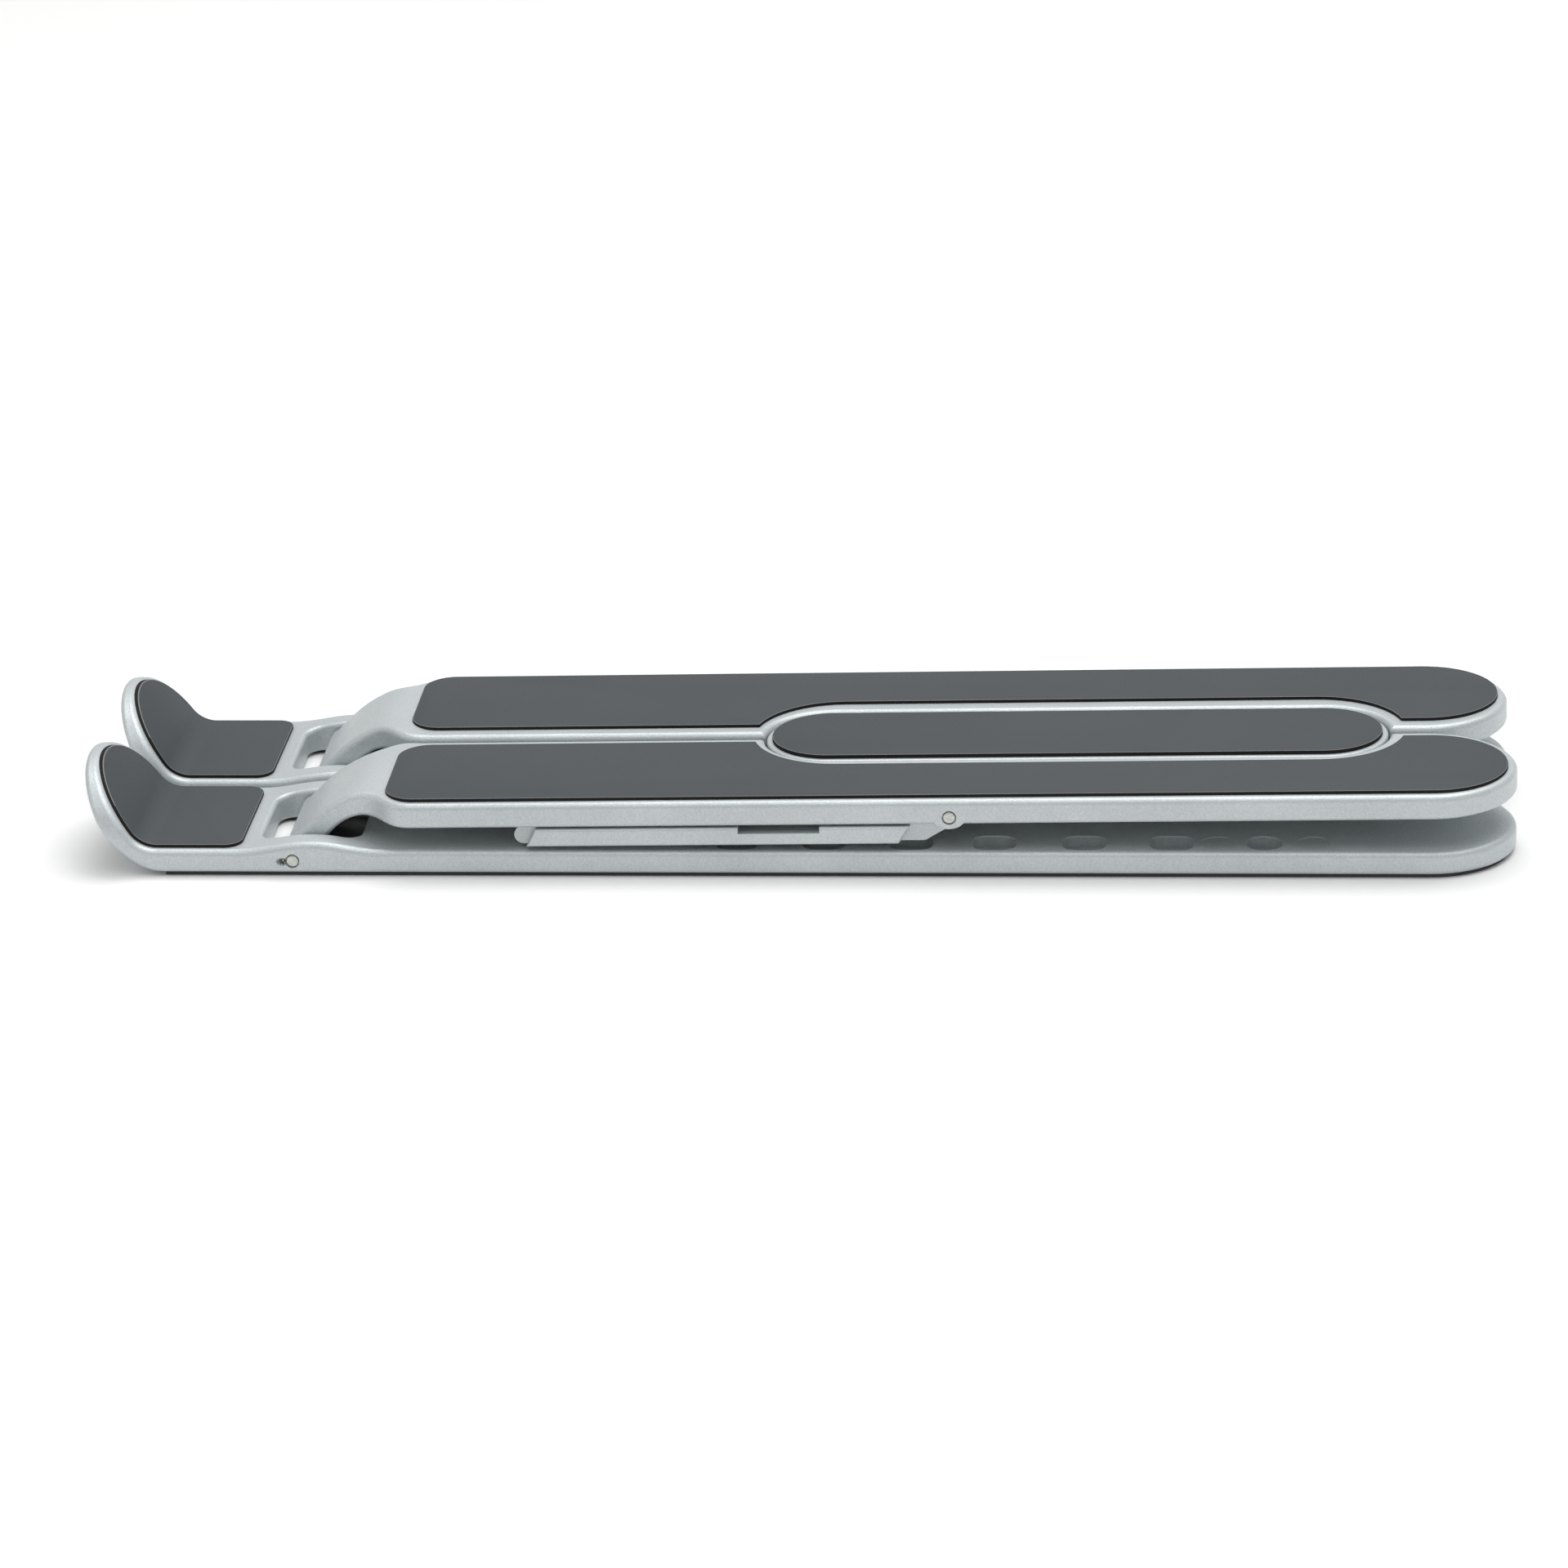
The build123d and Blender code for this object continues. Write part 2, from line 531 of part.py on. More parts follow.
def prop(side):
    """Prop that folds flat under the support arm and stands on the base arm in use."""
    half = (PROP_OUTER - PROP_INNER) / 2
    plate = Pos(0, side * (PROP_OUTER + PROP_INNER) / 2, 0)
    plate = plate * extrude(prop_outline(PROP_FRONT_X, PROP_REAR_X), half, both=True)
    outer_edges = plate.edges().filter_by(lambda edge: abs(edge.center().Y) > PROP_OUTER - 0.1)
    plate = fillet(outer_edges, PROP_EDGE_FILLET)
    cut_y = (min(0, side * NECK_INNER), max(0, side * NECK_INNER))
    plate -= box_between((NECK_START_X, 60), cut_y, (0, 20))
    for row in (-1, 1):
        plate += prop_tooth(side, row)
    plate += prop_web(side)
    knuckle_y = (side * PROP_KNUCKLE_Y[0], side * PROP_KNUCKLE_Y[1])
    plate += cylinder_y(PROP_PIN_X, PROP_PIN_Z, PROP_KNUCKLE_RADIUS, knuckle_y)
    plate -= cylinder_y(PROP_PIN_X, PROP_PIN_Z, PIN_HOLE_TURNING, (side * 10, side * 35))
    notch_y = sorted((side * (PROP_OUTER - NAIL_NOTCH_REACH), side * (PROP_OUTER + 1)))
    notch = box_between(NAIL_NOTCH_X, notch_y, (PROP_TOP - NAIL_NOTCH_DEPTH, PROP_TOP + 1))
    return plate - notch


def write_step(name, solid):
    """Write one named piece of the stand, moved so that the origin is under its middle."""
    export_step(Pos(-ORIGIN_X, 0, 0) * solid, f"parts/{name}.step")


def write_side(name, side):
    """Write every piece that belongs to one side of the stand."""
    across = Pos(0, side * ARM_PITCH / 2, 0)
    half_pin = HALF_WIDTH - 0.05
    write_step(f"{name}_base_arm", across * base_arm())
    write_step(f"{name}_hook_pad", across * hook_pad())
    write_step(f"{name}_foot_pad", across * foot_pad())
    write_step(f"{name}_hinge_pin", across * cylinder_y(HINGE_X, HINGE_Z, PIN_RADIUS, (-half_pin, half_pin)))
    write_step(f"{name}_support_arm", tilted(support_arm(side)))
    write_step(f"{name}_support_pad", tilted(support_pad(side)))
    write_step(f"{name}_prop", tilted(prop(side)))
    pin_y = (side * (PROP_PIN_INNER + 0.05), side * (PROP_OUTER - 0.05))
    write_step(f"{name}_prop_pin", tilted(cylinder_y(PROP_PIN_X, PROP_PIN_Z, PIN_RADIUS, pin_y)))


def write_knee_bar():
    """Write the two links of the knee bar with their pad, rivets and washers."""
    pad_z = (LINK_TOP_Z[1] - LINK_PAD_RECESS, LINK_TOP_Z[1] + LINK_PAD_PROUD)
    head_top = pad_z[0] - 0.05
    write_step("link_top", tilted(link_top()))
    write_step("link_bottom", tilted(link_bottom()))
    write_step("link_top_pad", tilted(prism(long_hole(PIVOT_X, KNEE_X, LINK_PAD_RADIUS), pad_z)))
    write_step("far_pivot_rivet", tilted(rivet(PIVOT_X, head_top, FAR_TONGUE_Z[0] + 0.05)))
    write_step("near_pivot_rivet", tilted(rivet(PIVOT_X, LINK_BOTTOM_Z[1] - 0.05, NEAR_TONGUE_Z[0] + 0.05)))
    write_step("knee_rivet", tilted(rivet(KNEE_X, head_top, LINK_BOTTOM_Z[0] + 0.05)))
    write_step("far_pivot_washer", tilted(washer(PIVOT_X, (FAR_TONGUE_Z[1], LINK_TOP_Z[0]))))
    write_step("near_pivot_washer", tilted(washer(PIVOT_X, (NEAR_TONGUE_Z[1], LINK_BOTTOM_Z[0]))))
    write_step("knee_washer", tilted(washer(KNEE_X, (LINK_BOTTOM_Z[1], LINK_TOP_Z[0]))))


write_side("near", -1)
write_side("far", 1)
write_knee_bar()
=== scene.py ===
"""Looks of a folded laptop stand: blasted aluminium arms, silicone pads, steel pins and a pale studio."""
import logging
import math
from dataclasses import dataclass, field
from enum import Enum
from typing import Callable

import bpy
from mathutils import Matrix, Vector


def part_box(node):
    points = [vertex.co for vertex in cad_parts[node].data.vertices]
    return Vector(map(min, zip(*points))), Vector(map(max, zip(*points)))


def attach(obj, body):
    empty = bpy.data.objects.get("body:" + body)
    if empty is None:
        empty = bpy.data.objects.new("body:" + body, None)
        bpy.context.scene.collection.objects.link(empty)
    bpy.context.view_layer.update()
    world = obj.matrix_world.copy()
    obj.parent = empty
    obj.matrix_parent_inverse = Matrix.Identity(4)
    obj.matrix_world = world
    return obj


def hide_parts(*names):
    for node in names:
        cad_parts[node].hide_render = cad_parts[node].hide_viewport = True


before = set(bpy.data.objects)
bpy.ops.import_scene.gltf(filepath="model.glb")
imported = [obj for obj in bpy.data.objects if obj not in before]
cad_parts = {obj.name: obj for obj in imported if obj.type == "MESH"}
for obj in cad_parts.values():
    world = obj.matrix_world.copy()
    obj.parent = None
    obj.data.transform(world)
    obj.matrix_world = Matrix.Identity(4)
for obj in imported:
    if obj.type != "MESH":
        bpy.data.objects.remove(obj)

logging.basicConfig(level=logging.INFO, format="%(message)s")
LOG = logging.getLogger("laptop_stand")

MM = 0.001
MERGE_DISTANCE = 0.002 * MM                 # corners closer than this are one corner
FLAT_ANGLE = math.radians(0.3)              # faces that turn less than this are one face
SHARP_ANGLE = math.radians(40.0)            # edges sharper than this are rounded
SMOOTH_ANGLE = math.radians(35.0)           # edges blunter than this are shaded smooth
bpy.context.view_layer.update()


class Side(Enum):
    """The two sides of the stand."""

    NEAR = "near"
    FAR = "far"


class Slot(Enum):
    """The record's material slots of the pieces that are built here."""

    PAD = "pad_silicone"
    STEEL = "pin_steel"


class Graph:
    """A material's node tree, with short ways to add and join nodes."""

    middle: tuple[float, float] = (0.3, 0.7)    # the range that most of a noise lies in

    def __init__(self, name: str) -> None:
        """Start a material with one Principled shader.

        Args:
            name: The material's name.
        """
        self.material = bpy.data.materials.new(name)
        self.material.use_nodes = True
        self.tree = self.material.node_tree
        self.shader = self.tree.nodes["Principled BSDF"]
        self.coords = self.tree.nodes.new("ShaderNodeTexCoord").outputs["Object"]

    def join(self, source: bpy.types.NodeSocket, target: bpy.types.NodeSocket) -> None:
        """Link one socket to another."""
        self.tree.links.new(source, target)

    def noise(self, scale: float, detail: float = 2.0, roughness: float = 0.5) -> bpy.types.NodeSocket:
        """Noise over the piece.

        Args:
            scale: Repeats per metre.
            detail: Layers of finer noise.
            roughness: How strong the finer layers are.

        Returns:
            The noise's value.
        """
        node = self.tree.nodes.new("ShaderNodeTexNoise")
        node.inputs["Scale"].default_value = scale
        node.inputs["Detail"].default_value = detail
        node.inputs["Roughness"].default_value = roughness
        self.join(self.coords, node.inputs["Vector"])
        return node.outputs["Fac"]

    def remap(self, value: bpy.types.NodeSocket, low: float, high: float, to_low: float,
              to_high: float) -> bpy.types.NodeSocket:
        """Map a value from one range to another, clamped.

        Args:
            value: The value to map.
            low: Start of the range it comes from.
            high: End of that range.
            to_low: What the start maps to.
            to_high: What the end maps to.

        Returns:
            The mapped value.
        """
        node = self.tree.nodes.new("ShaderNodeMapRange")
        for name, number in zip(("From Min", "From Max", "To Min", "To Max"), (low, high, to_low, to_high)):
            node.inputs[name].default_value = number
        self.join(value, node.inputs["Value"])
        return node.outputs["Result"]

    def math(self, operation: str, first: bpy.types.NodeSocket,
             second: bpy.types.NodeSocket | float) -> bpy.types.NodeSocket:
        """One sum on two values.

        Args:
            operation: The Math node's operation.
            first: The first value.
            second: The second value, a socket or a number.

        Returns:
            The result.
        """
        node = self.tree.nodes.new("ShaderNodeMath")
        node.operation = operation
        self.join(first, node.inputs[0])
        if isinstance(second, float):
            node.inputs[1].default_value = second
        else:
            self.join(second, node.inputs[1])
        return node.outputs[0]

    def mix(self, share: bpy.types.NodeSocket, first: tuple | bpy.types.NodeSocket,
            second: tuple | bpy.types.NodeSocket) -> bpy.types.NodeSocket:
        """Mix two colours.

        Args:
            share: How much of the second shows.
            first: A colour or a socket.
            second: A colour or a socket.

        Returns:
            The mixed colour.
        """
        node = self.tree.nodes.new("ShaderNodeMix")
        node.data_type = "RGBA"
        self.join(share, node.inputs["Factor"])
        for socket, value in ((node.inputs[6], first), (node.inputs[7], second)):
            if isinstance(value, tuple):
                socket.default_value = (*value, 1.0)
            else:
                self.join(value, socket)
        return node.outputs[2]

    def tone(self, fine: bpy.types.NodeSocket, cloud: bpy.types.NodeSocket,
             cloud_share: float) -> bpy.types.NodeSocket:
        """How light the surface is from place to place, from two noises.

        Args:
            fine: The fine noise.
            cloud: The broad noise.
            cloud_share: How much the broad noise counts.

        Returns:
            The lightness, from nought to one.
        """
        fine_part = self.remap(fine, *self.middle, 0.0, 1.0 - cloud_share)
        return self.math("ADD", fine_part, self.remap(cloud, *self.middle, 0.0, cloud_share))

    def bump(self, height: bpy.types.NodeSocket, distance: float, strength: float,
             below: bpy.types.NodeSocket | None = None) -> bpy.types.NodeSocket:
        """Turn a height into a bumped normal.

        Args:
            height: The height's value.
            distance: Metres for a height of one.
            strength: How much of the bump shows.
            below: A bumped normal that this one lies on.

        Returns:
            The normal.
        """
        node = self.tree.nodes.new("ShaderNodeBump")
        node.inputs["Distance"].default_value = distance
        node.inputs["Strength"].default_value = strength
        self.join(height, node.inputs["Height"])
        if below is not None:
            self.join(below, node.inputs["Normal"])
        return node.outputs["Normal"]

    def spot(self, centre: tuple[float, float, float], size: tuple[float, float, float],
             soft: float) -> bpy.types.NodeSocket:
        """A soft oval spot on the piece.

        Args:
            centre: The spot's middle, in metres.
            size: Its half size along each axis.
            soft: The share of the size over which its edge fades.

        Returns:
            One inside the spot and nought outside.
        """
        place = self.tree.nodes.new("ShaderNodeMapping")
        place.inputs["Scale"].default_value = tuple(1 / s for s in size)
        place.inputs["Location"].default_value = tuple(-c / s for c, s in zip(centre, size))
        self.join(self.coords, place.inputs["Vector"])
        length = self.tree.nodes.new("ShaderNodeVectorMath")
        length.operation = "LENGTH"
        self.join(place.outputs["Vector"], length.inputs[0])
        return self.remap(length.outputs["Value"], 1.0 - soft, 1.0 + soft, 1.0, 0.0)


@dataclass(frozen=True)
class Chip:
    """A place where the finish is torn off down to dark, scratched metal."""

    centre: tuple[float, float, float]
    half_size: tuple[float, float, float]


@dataclass(frozen=True)
class BlastedAluminium:
    """Fine blasted and anodised aluminium with a grain that glitters on the rounded edges."""

    name: str
    light: tuple[float, float, float] = (0.610, 0.650, 0.660)
    dark: tuple[float, float, float] = (0.455, 0.495, 0.505)
    grain_scale: float = 3300.0
    peel_scale: float = 900.0
    cloud_scale: float = 60.0
    cloud_share: float = 0.30
    metallic: float = 0.35
    roughness: tuple[float, float] = (0.50, 0.34)
    roughness_range: tuple[float, float] = (0.35, 0.65)
    peel_height: float = 0.10 * MM
    peel_strength: float = 0.30
    grain_height: float = 0.07 * MM
    grain_strength: float = 0.75
    torn_metal: tuple[float, float, float] = (0.030, 0.030, 0.030)
    scratch_metal: tuple[float, float, float] = (0.50, 0.50, 0.48)
    scratch_scale: float = 3600.0
    scratch_range: tuple[float, float] = (0.58, 0.66)
    torn_softness: float = 0.22
    torn_range: tuple[float, float] = (0.30, 0.42)
    torn_cover: tuple[float, float] = (0.6, 1.0)
    torn_depth: float = 0.25 * MM
    chips: tuple[Chip, ...] = ()

    def material(self) -> bpy.types.Material:
        """The finish as a material."""
        graph = Graph(self.name)
        grain = graph.noise(self.grain_scale, 2.0, 0.7)
        peel = graph.noise(self.peel_scale, 2.0)
        cloud = graph.noise(self.cloud_scale, 3.0)
        colour = graph.mix(graph.tone(grain, cloud, self.cloud_share), self.dark, self.light)
        rough = graph.remap(grain, *self.roughness_range, *self.roughness)
        normal = graph.bump(peel, self.peel_height, self.peel_strength)
        normal = graph.bump(grain, self.grain_height, self.grain_strength, normal)
        for chip in self.chips:
            spot = graph.spot(chip.centre, chip.half_size, self.torn_softness)
            torn = graph.math("MULTIPLY", spot, graph.remap(peel, *self.torn_range, *self.torn_cover))
            streak = graph.remap(graph.noise(self.scratch_scale, 1.0), *self.scratch_range, 0.0, 1.0)
            colour = graph.mix(torn, colour, graph.mix(streak, self.torn_metal, self.scratch_metal))
            normal = graph.bump(graph.math("MULTIPLY", torn, -1.0), self.torn_depth, 1.0, normal)
        graph.join(colour, graph.shader.inputs["Base Color"])
        graph.join(rough, graph.shader.inputs["Roughness"])
        graph.join(normal, graph.shader.inputs["Normal"])
        graph.shader.inputs["Metallic"].default_value = self.metallic
        return graph.material


@dataclass(frozen=True)
class Silicone:
    """Smooth matt silicone with a very fine mottle."""

    name: str
    light: tuple[float, float, float] = (0.067, 0.076, 0.081)
    dark: tuple[float, float, float] = (0.052, 0.062, 0.067)
    gloss: float = 0.30
    mottle_scale: float = 2400.0
    mottle_height: float = 0.03 * MM
    mottle_strength: float = 0.45
    cloud_scale: float = 45.0
    cloud_share: float = 0.30
    roughness: tuple[float, float] = (0.58, 0.72)

    def material(self) -> bpy.types.Material:
        """The finish as a material."""
        graph = Graph(self.name)
        mottle = graph.noise(self.mottle_scale, 3.0, 0.6)
        tone = graph.tone(mottle, graph.noise(self.cloud_scale, 3.0), self.cloud_share)
        graph.join(graph.mix(tone, self.dark, self.light), graph.shader.inputs["Base Color"])
        graph.join(graph.remap(mottle, *graph.middle, *self.roughness), graph.shader.inputs["Roughness"])
        normal = graph.bump(mottle, self.mottle_height, self.mottle_strength)
        graph.join(normal, graph.shader.inputs["Normal"])
        graph.shader.inputs["Specular IOR Level"].default_value = self.gloss
        return graph.material


@dataclass(frozen=True)
class GroundSteel:
    """Bright steel, ground across the pin's end."""

    name: str
    light: tuple[float, float, float] = (0.66, 0.67, 0.62)
    dark: tuple[float, float, float] = (0.36, 0.37, 0.34)
    stretch: tuple[float, float, float] = (0.25, 1.0, 3.0)
    line_scale: float = 2600.0
    line_height: float = 0.03 * MM
    line_strength: float = 0.5
    roughness: tuple[float, float] = (0.22, 0.38)
    metallic: float = 0.9

    def material(self) -> bpy.types.Material:
        """The finish as a material."""
        graph = Graph(self.name)
        place = graph.tree.nodes.new("ShaderNodeMapping")
        place.inputs["Scale"].default_value = self.stretch
        graph.join(graph.coords, place.inputs["Vector"])
        lines = graph.tree.nodes.new("ShaderNodeTexNoise")
        lines.inputs["Scale"].default_value = self.line_scale
        graph.join(place.outputs["Vector"], lines.inputs["Vector"])
        scratch = lines.outputs["Fac"]
        shade = graph.remap(scratch, *graph.middle, 0.0, 1.0)
        graph.join(graph.mix(shade, self.dark, self.light), graph.shader.inputs["Base Color"])
        graph.join(graph.remap(scratch, *graph.middle, *self.roughness), graph.shader.inputs["Roughness"])
        graph.join(graph.bump(scratch, self.line_height, self.line_strength), graph.shader.inputs["Normal"])
        graph.shader.inputs["Metallic"].default_value = self.metallic
        return graph.material


@dataclass(frozen=True)
class PlainPlastic:
    """Dull moulded plastic or rubber with a fine grain."""

    name: str
    colour: tuple[float, float, float] = (0.03, 0.03, 0.032)
    lighter: tuple[float, float, float] = (0.05, 0.05, 0.052)
    grain_scale: float = 2200.0
    grain_height: float = 0.04 * MM
    grain_strength: float = 0.5
    roughness: tuple[float, float] = (0.55, 0.75)

    def material(self) -> bpy.types.Material:
        """The finish as a material."""
        graph = Graph(self.name)
        grain = graph.noise(self.grain_scale, 2.0)
        shade = graph.remap(grain, *graph.middle, 0.0, 1.0)
        graph.join(graph.mix(shade, self.colour, self.lighter), graph.shader.inputs["Base Color"])
        graph.join(graph.remap(grain, *graph.middle, *self.roughness), graph.shader.inputs["Roughness"])
        graph.join(graph.bump(grain, self.grain_height, self.grain_strength), graph.shader.inputs["Normal"])
        return graph.material


def deselect_all() -> None:
    """Leave nothing selected."""
    if bpy.context.object and bpy.context.object.mode != "OBJECT":
        bpy.ops.object.mode_set(mode="OBJECT")
    bpy.ops.object.select_all(action="DESELECT")


def make_active(piece: bpy.types.Object) -> None:
    """Select one object alone and make it active."""
    deselect_all()
    piece.select_set(True)
    bpy.context.view_layer.objects.active = piece


def apply_bevel(piece: bpy.types.Object, width: float, segments: int) -> None:
    """Round a piece's sharp edges.

    Args:
        piece: The mesh to round.
        width: The bevel's width in metres.
        segments: Faces across each bevel.
    """
    make_active(piece)
    bevel = piece.modifiers.new("rounded edges", "BEVEL")
    bevel.width = width
    bevel.segments = segments
    bevel.limit_method = "ANGLE"
    bevel.angle_limit = SHARP_ANGLE
    bevel.use_clamp_overlap = True
    bpy.ops.object.modifier_apply(modifier=bevel.name)
    bpy.ops.object.shade_smooth_by_angle(angle=SMOOTH_ANGLE)


def merged_copy(node: str, name: str) -> bpy.types.Object:
    """A copy of a CAD node with its loose triangles merged and its flat faces whole.

    Args:
        node: The CAD node to copy.
        name: The new piece's name.

    Returns:
        The copy, at the origin.
    """
    piece = bpy.data.objects.new(name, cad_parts[node].data.copy())
    bpy.context.scene.collection.objects.link(piece)
    make_active(piece)
    bpy.ops.mesh.customdata_custom_splitnormals_clear()
    bpy.ops.object.mode_set(mode="EDIT")
    bpy.ops.mesh.select_all(action="SELECT")
    bpy.ops.mesh.remove_doubles(threshold=MERGE_DISTANCE)
    bpy.ops.mesh.dissolve_limited(angle_limit=FLAT_ANGLE)
    bpy.ops.object.mode_set(mode="OBJECT")
    return piece


def hand_over(piece: bpy.types.Object, body: str, slot: Slot, *nodes: str) -> None:
    """Put a finished piece on its body, in the place of its CAD nodes.

    Args:
        piece: The finished piece.
        body: The body that it rides on.
        slot: The record's slot for its finish; not used.
        nodes: The CAD nodes that it stands for.
    """
    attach(piece, body)
    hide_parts(*nodes)
    LOG.info("built %s on %s", piece.name, body)


@dataclass
class Finishes:
    """Every material of the stand, made once."""

    chip_offset: tuple[float, float] = (-1.75 * MM, -0.12 * MM)
    chip_half_size: tuple[float, float, float] = (0.95 * MM, 0.50 * MM, 0.62 * MM)
    made: dict[str, bpy.types.Material] = field(default_factory=dict)

    def pin_chip(self) -> Chip:
        """The chip beside the near hinge pin."""
        low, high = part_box("near_hinge_pin")
        middle = (low + high) / 2
        centre = (middle.x + self.chip_offset[0], low.y, middle.z + self.chip_offset[1])
        return Chip(centre, self.chip_half_size)

    def build(self) -> None:
        """Make the materials."""
        finishes = (
            BlastedAluminium("near_base_metal", chips=(self.pin_chip(),)),
            BlastedAluminium("blasted_metal"),
            Silicone("pad_top"),
            # The paler silicone is a painted highlight on the pads' rounded top edge; the near-black one is
            # painted shade on their cut sides.
            Silicone("pad_edge_painted_highlight", light=(0.24, 0.25, 0.25), dark=(0.17, 0.18, 0.18)),
            Silicone("pad_wall_painted_shade", light=(0.022, 0.021, 0.019), dark=(0.012, 0.012, 0.011), gloss=0.1),
            GroundSteel("pin_end"),
            PlainPlastic("foot_rubber"),
            PlainPlastic("washer_nylon", colour=(0.10, 0.10, 0.10), lighter=(0.14, 0.14, 0.14)),
        )
        for finish in finishes:
            self.made[finish.name] = finish.material()
            LOG.info("made finish %s", finish.name)


@dataclass
class PlainParts:
    """The arms, props, links, rivets, washers and foot pads, whose shapes are the CAD's own."""

    finishes: Finishes
    finish_of: dict[str, str] = field(default_factory=lambda: {
        "near_base_arm": "near_base_metal",
        "far_base_arm": "blasted_metal",
        "near_support_arm": "blasted_metal",
        "far_support_arm": "blasted_metal",
        "near_prop": "blasted_metal",
        "far_prop": "blasted_metal",
        "link_top": "blasted_metal",
        "link_bottom": "blasted_metal",
        "far_pivot_rivet": "pin_end",
        "near_pivot_rivet": "pin_end",
        "knee_rivet": "pin_end",
        "far_pivot_washer": "washer_nylon",
        "near_pivot_washer": "washer_nylon",
        "knee_washer": "washer_nylon",
        "near_foot_pad": "foot_rubber",
        "far_foot_pad": "foot_rubber",
    })

    def dress(self, node: str, finish: str) -> None:
        """Give a CAD node one finish.

        Args:
            node: The CAD node.
            finish: The finish's name.
        """
        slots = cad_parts[node].material_slots
        for slot in slots:
            slot.material = self.finishes.made[finish]
        if not slots:
            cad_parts[node].data.materials.append(self.finishes.made[finish])
        LOG.info("dressed %s in %s", node, finish)

    def build(self) -> None:
        """Dress every one of these parts."""
        for node, finish in self.finish_of.items():
            self.dress(node, finish)


@dataclass
class SoftPads:
    """Silicone pads, with painted shade on their cut sides and a painted highlight on their rounded top
    edge.

    The bend's offset runs from the low corner of a hook pad's box to the centre of the bend. A face is part
    of the top when the cosine of its slope from the top passes the top limit, gets the painted highlight of
    the rounded edge when it passes only the highlight limit, and gets the painted shade of the cut sides
    otherwise.
    """

    finishes: Finishes
    edge_width: float = 0.12 * MM
    edge_segments: int = 2
    bend_offset: tuple[float, float] = (11.97 * MM, 6.15 * MM)
    lean: float = math.radians(56.0)
    highlight_cosine: float = 0.62
    top_cosine: float = 0.985

    def hook_up(self, bend: tuple[float, float], place: Vector) -> Vector:
        """Which way a hook pad's top faces at one place.

        Args:
            bend: X and Z of the bend's centre.
            place: A point on the pad.

        Returns:
            The direction out of the pad's top there.
        """
        turn = math.atan2(bend[0] - place.x, bend[1] - place.z)
        turn = min(max(turn, 0.0), self.lean)
        return Vector((math.sin(turn), 0.0, math.cos(turn)))

    def paint(self, pad: bpy.types.Object, up_at: Callable[[Vector], Vector]) -> None:
        """Give each face the pad top's finish, the painted highlight of the rounded edge or the painted
        shade of the cut side.

        Args:
            pad: The pad.
            up_at: Which way the top faces at a place.
        """
        pad.data.materials.clear()
        # The second material is a painted highlight for the rounded top edge, the third painted shade for
        # the steep cut sides.
        for name in ("pad_top", "pad_edge_painted_highlight", "pad_wall_painted_shade"):
            pad.data.materials.append(self.finishes.made[name])
        for face in pad.data.polygons:
            facing = face.normal.dot(up_at(face.center))
            face.material_index = 0 if facing > self.top_cosine else 1 if facing > self.highlight_cosine else 2

    def build_pad(self, node: str, body: str) -> None:
        """Build one pad in the place of its CAD node.

        Args:
            node: The CAD node that it stands for.
            body: The body that it rides on.
        """
        pad = merged_copy(node, f"{node}_silicone")
        apply_bevel(pad, self.edge_width, self.edge_segments)
        if "hook" in node:
            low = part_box(node)[0]
            bend = (low.x + self.bend_offset[0], low.z + self.bend_offset[1])
            self.paint(pad, lambda place: self.hook_up(bend, place))
        else:
            self.paint(pad, lambda place: Vector((0.0, 0.0, 1.0)))
        hand_over(pad, body, Slot.PAD, node)

    def build(self) -> None:
        """Build every pad."""
        for side in Side:
            self.build_pad(f"{side.value}_hook_pad", f"{side.value}_base")
            self.build_pad(f"{side.value}_support_pad", f"{side.value}_support")
        self.build_pad("link_top_pad", "link_top")


@dataclass
class Pins:
    """Turned steel pins with chamfered, slightly domed ends."""

    finishes: Finishes
    facets: int = 48
    chamfer: float = 0.16 * MM
    chamfer_segments: int = 3

    def build_pin(self, node: str, body: str) -> None:
        """Build one pin along Y in the place of its CAD node.

        Args:
            node: The CAD node that it stands for.
            body: The body that it rides on.
        """
        low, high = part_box(node)
        middle = (low + high) / 2
        deselect_all()
        bpy.ops.mesh.primitive_cylinder_add(
            vertices=self.facets, radius=(high.x - low.x) / 2, depth=high.y - low.y,
            location=middle, rotation=(math.pi / 2, 0, 0))
        pin = bpy.context.object
        pin.name = f"{node}_turned"
        bpy.ops.object.transform_apply(location=True, rotation=True, scale=True)
        apply_bevel(pin, self.chamfer, self.chamfer_segments)
        pin.data.materials.append(self.finishes.made["pin_end"])
        hand_over(pin, body, Slot.STEEL, node)

    def build(self) -> None:
        """Build every pin."""
        for side in Side:
            self.build_pin(f"{side.value}_hinge_pin", f"{side.value}_base")
            self.build_pin(f"{side.value}_prop_pin", f"{side.value}_support")


@dataclass(frozen=True)
class SoftLight:
    """A soft rectangular light: its name, place and size in metres, and power in watts."""

    name: str
    place: tuple[float, float, float]
    size: tuple[float, float]
    power: float


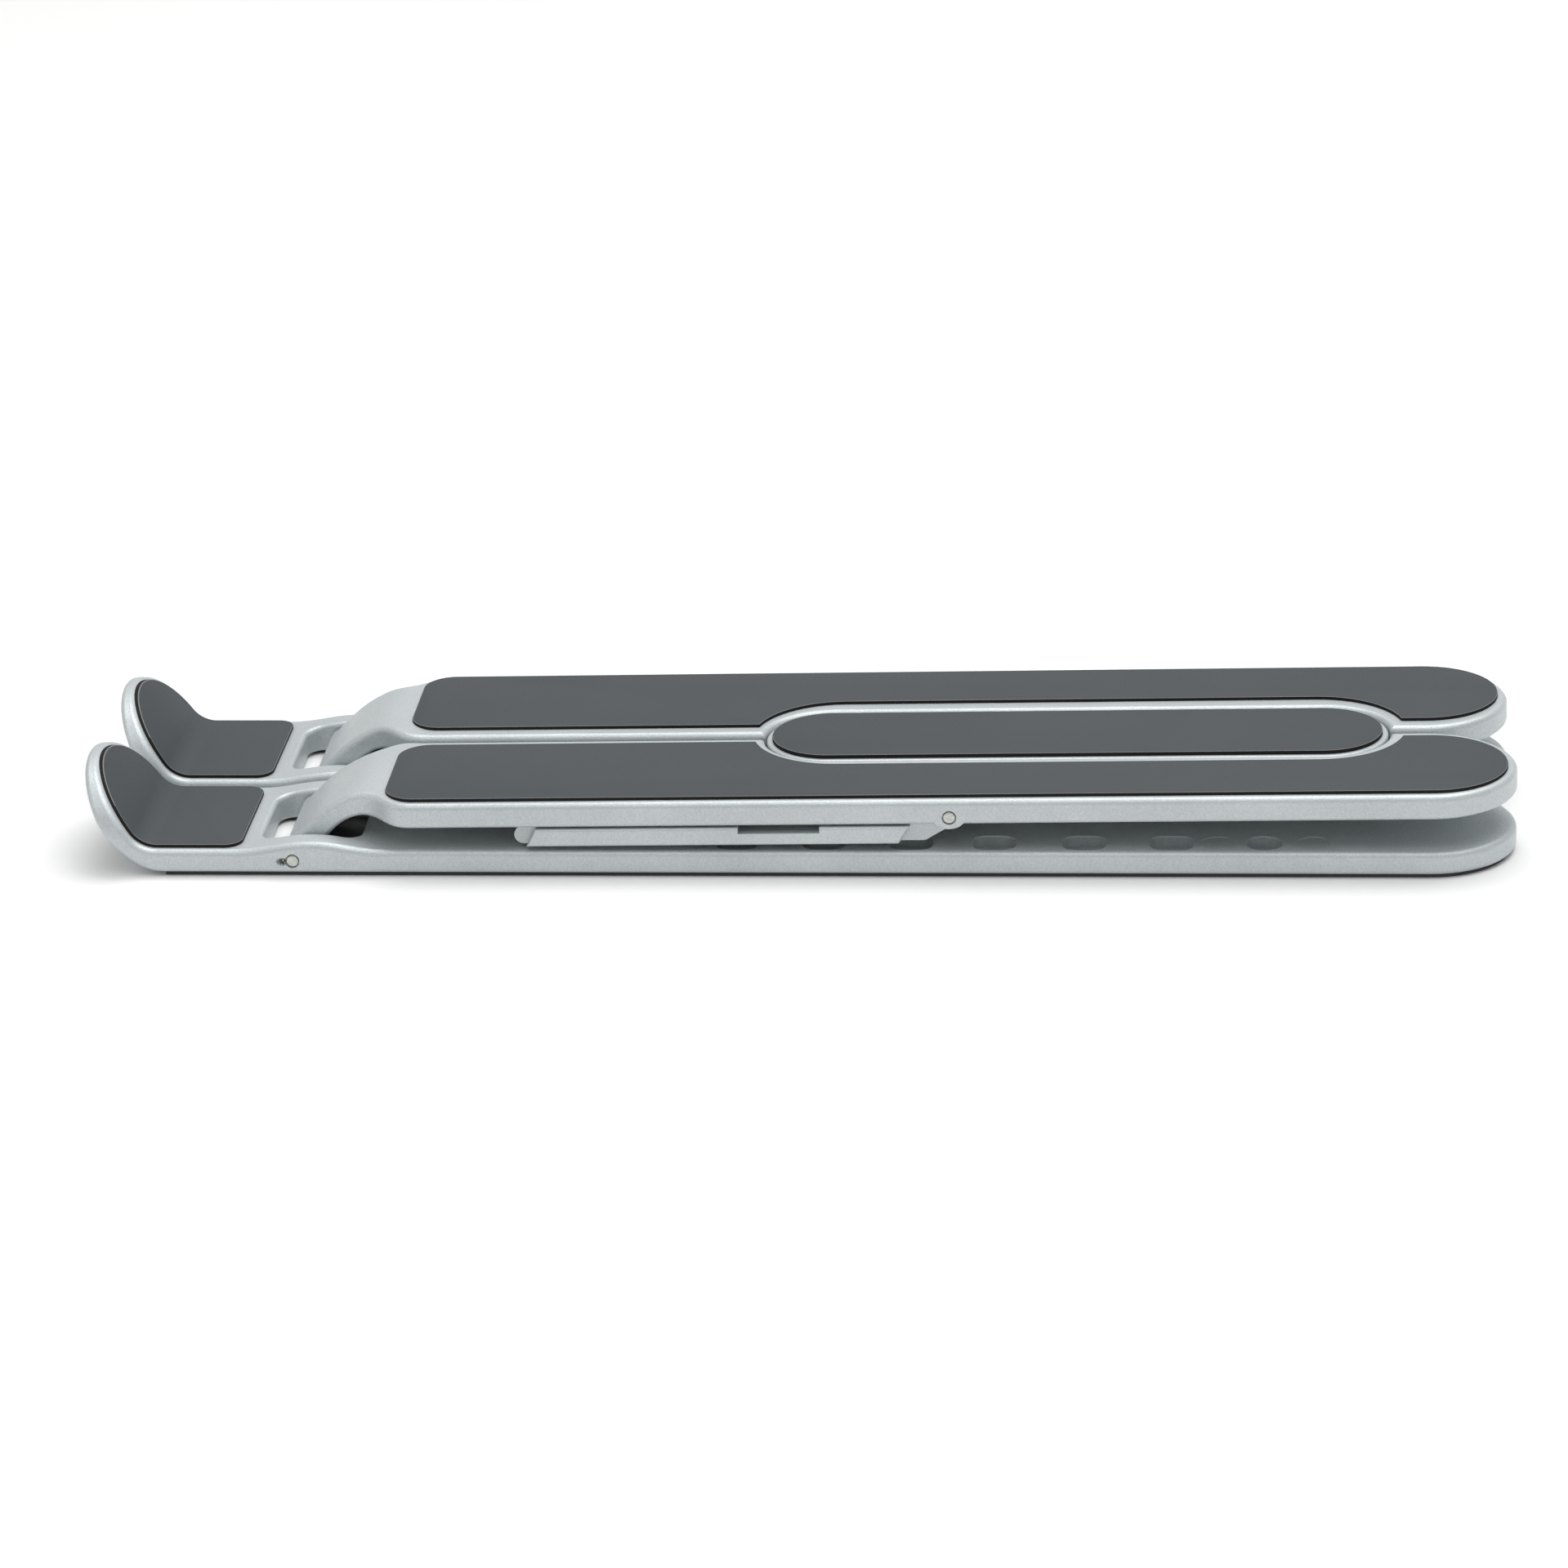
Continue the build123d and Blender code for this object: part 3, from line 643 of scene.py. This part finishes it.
@dataclass
class Studio:
    """Pale floor, soft lights and the camera."""

    target: Vector = field(default_factory=lambda: Vector((-3.64, 0.0, 4.81)) * MM)
    distance: float = 934.14 * MM
    azimuth: float = -4.799
    elevation: float = 21.555
    roll: float = -1.717
    lens: float = 120.72
    sensor_width: float = 36.0
    floor_size: float = 8.0
    floor_colour: tuple[float, float, float] = (0.90, 0.90, 0.895)
    floor_roughness: float = 0.9
    floor_gloss: float = 0.1
    world_strength: float = 0.50
    lights: tuple[SoftLight, ...] = (
        SoftLight("overhead", (0.20, 0.35, 1.25), (1.3, 0.9), 13.0),
        SoftLight("front_top", (0.10, -0.50, 1.15), (1.2, 0.5), 3.0),
        SoftLight("left_window", (-1.1, -0.5, 0.7), (0.9, 0.9), 1.2),
    )

    def camera_back(self) -> Vector:
        """The direction from the target to the camera."""
        turn, rise = math.radians(self.azimuth), math.radians(self.elevation)
        return Vector((-math.sin(turn) * math.cos(rise), -math.cos(turn) * math.cos(rise), math.sin(rise)))

    def add_camera(self) -> None:
        """Add the camera and make it the scene's."""
        back = self.camera_back()
        data = bpy.data.cameras.new("camera")
        data.lens = self.lens
        data.sensor_width = self.sensor_width
        camera = bpy.data.objects.new("camera", data)
        bpy.context.scene.collection.objects.link(camera)
        turned = (-back).to_track_quat("-Z", "Y").to_matrix().to_4x4()
        turned = turned @ Matrix.Rotation(math.radians(self.roll), 4, "Z")
        camera.matrix_world = Matrix.Translation(self.target + back * self.distance) @ turned
        bpy.context.scene.camera = camera

    def add_floor(self) -> None:
        """Add the pale floor."""
        deselect_all()
        bpy.ops.mesh.primitive_plane_add(size=self.floor_size, location=(0, 0, 0))
        floor = bpy.context.object
        floor.name = "floor"
        graph = Graph("floor_paper")
        graph.shader.inputs["Base Color"].default_value = (*self.floor_colour, 1.0)
        graph.shader.inputs["Roughness"].default_value = self.floor_roughness
        graph.shader.inputs["Specular IOR Level"].default_value = self.floor_gloss
        floor.data.materials.append(graph.material)

    def add_light(self, light: SoftLight) -> None:
        """Add one soft rectangular light aimed at the stand.

        Args:
            light: The light to add.
        """
        data = bpy.data.lights.new(light.name, "AREA")
        data.shape = "RECTANGLE"
        data.size, data.size_y = light.size
        data.energy = light.power
        lamp = bpy.data.objects.new(light.name, data)
        bpy.context.scene.collection.objects.link(lamp)
        lamp.location = light.place
        lamp.rotation_euler = (-Vector(light.place)).to_track_quat("-Z", "Y").to_euler()

    def add_world(self) -> None:
        """Light the scene evenly from all round."""
        world = bpy.data.worlds.new("studio")
        bpy.context.scene.world = world
        world.use_nodes = True
        world.node_tree.nodes["Background"].inputs["Color"].default_value = (1.0, 1.0, 1.0, 1.0)
        world.node_tree.nodes["Background"].inputs["Strength"].default_value = self.world_strength

    def build(self) -> None:
        """Build the whole studio."""
        bpy.context.scene.view_settings.view_transform = "Standard"
        self.add_camera()
        self.add_floor()
        self.add_world()
        for light in self.lights:
            self.add_light(light)
        LOG.info("built the studio")


def main() -> None:
    """Build the stand's looks, then the studio."""
    finishes = Finishes()
    finishes.build()
    PlainParts(finishes).build()
    SoftPads(finishes).build()
    Pins(finishes).build()
    Studio().build()


if __name__ == "__main__":
    main()
